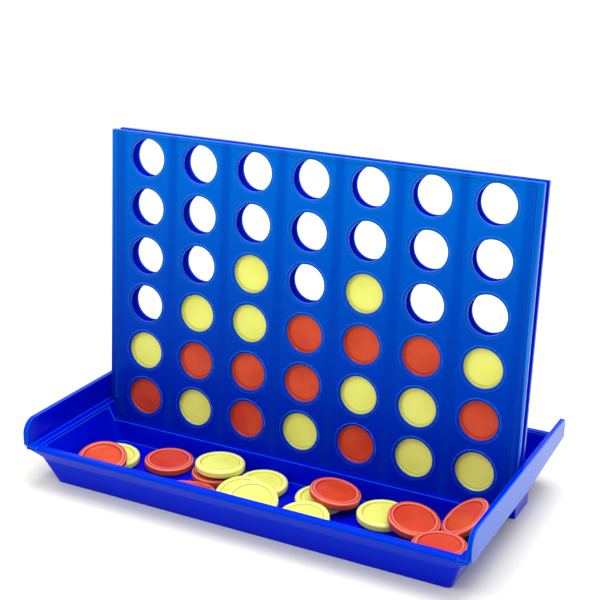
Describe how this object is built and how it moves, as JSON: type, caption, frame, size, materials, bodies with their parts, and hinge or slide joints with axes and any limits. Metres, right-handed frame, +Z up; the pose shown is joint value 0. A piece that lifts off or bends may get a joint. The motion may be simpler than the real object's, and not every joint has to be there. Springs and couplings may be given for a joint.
{
  "type": "four in a row frame",
  "caption": "Upright holed board for a four in a row game, leaning in a low tray and folding forward, with red and yellow discs that lift out of its slots",
  "frame": {"origin": "on the table, at the middle of the tray's footprint", "axes": "+X to the right as a player sits in front of the board, +Y to the back, +Z up; stored with the board upright"},
  "size_m": [0.2666, 0.15, 0.1886],
  "materials": {
    "tray_blue": "glossy blue injection-moulded plastic",
    "board_blue": "glossy blue injection-moulded plastic",
    "red_plastic": "glossy red-orange moulded plastic",
    "yellow_plastic": "glossy yellow moulded plastic"
  },
  "bodies": {
    "tray": {"tray": "tray_blue", "red_tray_disc_1": "red_plastic", "yellow_tray_disc_2": "yellow_plastic", "red_tray_disc_3": "red_plastic", "yellow_tray_disc_4": "yellow_plastic", "red_tray_disc_5": "red_plastic", "red_tray_disc_6": "red_plastic", "yellow_tray_disc_7": "yellow_plastic", "yellow_tray_disc_8": "yellow_plastic", "yellow_tray_disc_9": "yellow_plastic", "yellow_tray_disc_10": "yellow_plastic", "yellow_tray_disc_11": "yellow_plastic", "red_tray_disc_12": "red_plastic", "yellow_tray_disc_13": "yellow_plastic", "red_tray_disc_14": "red_plastic", "red_tray_disc_15": "red_plastic", "red_tray_disc_16": "red_plastic"},
    "board": {"front_grid": "board_blue", "back_grid": "board_blue", "column_dividers": "board_blue", "bottom_rail": "board_blue", "left_side_rail": "board_blue", "right_side_rail": "board_blue"},
    "red_disc_a1": {"red_disc_a1": "red_plastic"},
    "yellow_disc_a2": {"yellow_disc_a2": "yellow_plastic"},
    "yellow_disc_b1": {"yellow_disc_b1": "yellow_plastic"},
    "red_disc_b2": {"red_disc_b2": "red_plastic"},
    "yellow_disc_b3": {"yellow_disc_b3": "yellow_plastic"},
    "red_disc_c1": {"red_disc_c1": "red_plastic"},
    "red_disc_c2": {"red_disc_c2": "red_plastic"},
    "yellow_disc_c3": {"yellow_disc_c3": "yellow_plastic"},
    "yellow_disc_c4": {"yellow_disc_c4": "yellow_plastic"},
    "yellow_disc_d1": {"yellow_disc_d1": "yellow_plastic"},
    "red_disc_d2": {"red_disc_d2": "red_plastic"},
    "red_disc_d3": {"red_disc_d3": "red_plastic"},
    "red_disc_e1": {"red_disc_e1": "red_plastic"},
    "yellow_disc_e2": {"yellow_disc_e2": "yellow_plastic"},
    "red_disc_e3": {"red_disc_e3": "red_plastic"},
    "yellow_disc_e4": {"yellow_disc_e4": "yellow_plastic"},
    "yellow_disc_f1": {"yellow_disc_f1": "yellow_plastic"},
    "yellow_disc_f2": {"yellow_disc_f2": "yellow_plastic"},
    "red_disc_f3": {"red_disc_f3": "red_plastic"},
    "yellow_disc_g1": {"yellow_disc_g1": "yellow_plastic"},
    "red_disc_g2": {"red_disc_g2": "red_plastic"},
    "yellow_disc_g3": {"yellow_disc_g3": "yellow_plastic"}
  },
  "joints": [
    {"name": "board_fold", "type": "hinge", "parent": "tray", "child": "board", "pos_m": [0, 0.0086, 0.031], "axis": [1, 0, 0], "range_deg": [0, 95]},
    {"name": "red_slide_a1", "type": "slide", "parent": "board", "child": "red_disc_a1", "axis": [0, 0.0732, 0.9973], "range_m": [0, 0.116]},
    {"name": "yellow_slide_a2", "type": "slide", "parent": "red_disc_a1", "child": "yellow_disc_a2", "axis": [0, 0.0732, 0.9973], "range_m": [0, 0.145]},
    {"name": "yellow_slide_b1", "type": "slide", "parent": "board", "child": "yellow_disc_b1", "axis": [0, 0.0732, 0.9973], "range_m": [0, 0.087]},
    {"name": "red_slide_b2", "type": "slide", "parent": "yellow_disc_b1", "child": "red_disc_b2", "axis": [0, 0.0732, 0.9973], "range_m": [0, 0.087]},
    {"name": "yellow_slide_b3", "type": "slide", "parent": "red_disc_b2", "child": "yellow_disc_b3", "axis": [0, 0.0732, 0.9973], "range_m": [0, 0.116]},
    {"name": "red_slide_c1", "type": "slide", "parent": "board", "child": "red_disc_c1", "axis": [0, 0.0732, 0.9973], "range_m": [0, 0.058]},
    {"name": "red_slide_c2", "type": "slide", "parent": "red_disc_c1", "child": "red_disc_c2", "axis": [0, 0.0732, 0.9973], "range_m": [0, 0.058]},
    {"name": "yellow_slide_c3", "type": "slide", "parent": "red_disc_c2", "child": "yellow_disc_c3", "axis": [0, 0.0732, 0.9973], "range_m": [0, 0.058]},
    {"name": "yellow_slide_c4", "type": "slide", "parent": "yellow_disc_c3", "child": "yellow_disc_c4", "axis": [0, 0.0732, 0.9973], "range_m": [0, 0.087]},
    {"name": "yellow_slide_d1", "type": "slide", "parent": "board", "child": "yellow_disc_d1", "axis": [0, 0.0732, 0.9973], "range_m": [0, 0.087]},
    {"name": "red_slide_d2", "type": "slide", "parent": "yellow_disc_d1", "child": "red_disc_d2", "axis": [0, 0.0732, 0.9973], "range_m": [0, 0.087]},
    {"name": "red_slide_d3", "type": "slide", "parent": "red_disc_d2", "child": "red_disc_d3", "axis": [0, 0.0732, 0.9973], "range_m": [0, 0.116]},
    {"name": "red_slide_e1", "type": "slide", "parent": "board", "child": "red_disc_e1", "axis": [0, 0.0732, 0.9973], "range_m": [0, 0.058]},
    {"name": "yellow_slide_e2", "type": "slide", "parent": "red_disc_e1", "child": "yellow_disc_e2", "axis": [0, 0.0732, 0.9973], "range_m": [0, 0.058]},
    {"name": "red_slide_e3", "type": "slide", "parent": "yellow_disc_e2", "child": "red_disc_e3", "axis": [0, 0.0732, 0.9973], "range_m": [0, 0.058]},
    {"name": "yellow_slide_e4", "type": "slide", "parent": "red_disc_e3", "child": "yellow_disc_e4", "axis": [0, 0.0732, 0.9973], "range_m": [0, 0.087]},
    {"name": "yellow_slide_f1", "type": "slide", "parent": "board", "child": "yellow_disc_f1", "axis": [0, 0.0732, 0.9973], "range_m": [0, 0.087]},
    {"name": "yellow_slide_f2", "type": "slide", "parent": "yellow_disc_f1", "child": "yellow_disc_f2", "axis": [0, 0.0732, 0.9973], "range_m": [0, 0.087]},
    {"name": "red_slide_f3", "type": "slide", "parent": "yellow_disc_f2", "child": "red_disc_f3", "axis": [0, 0.0732, 0.9973], "range_m": [0, 0.116]},
    {"name": "yellow_slide_g1", "type": "slide", "parent": "board", "child": "yellow_disc_g1", "axis": [0, 0.0732, 0.9973], "range_m": [0, 0.087]},
    {"name": "red_slide_g2", "type": "slide", "parent": "yellow_disc_g1", "child": "red_disc_g2", "axis": [0, 0.0732, 0.9973], "range_m": [0, 0.087]},
    {"name": "yellow_slide_g3", "type": "slide", "parent": "red_disc_g2", "child": "yellow_disc_g3", "axis": [0, 0.0732, 0.9973], "range_m": [0, 0.116]}
  ]
}
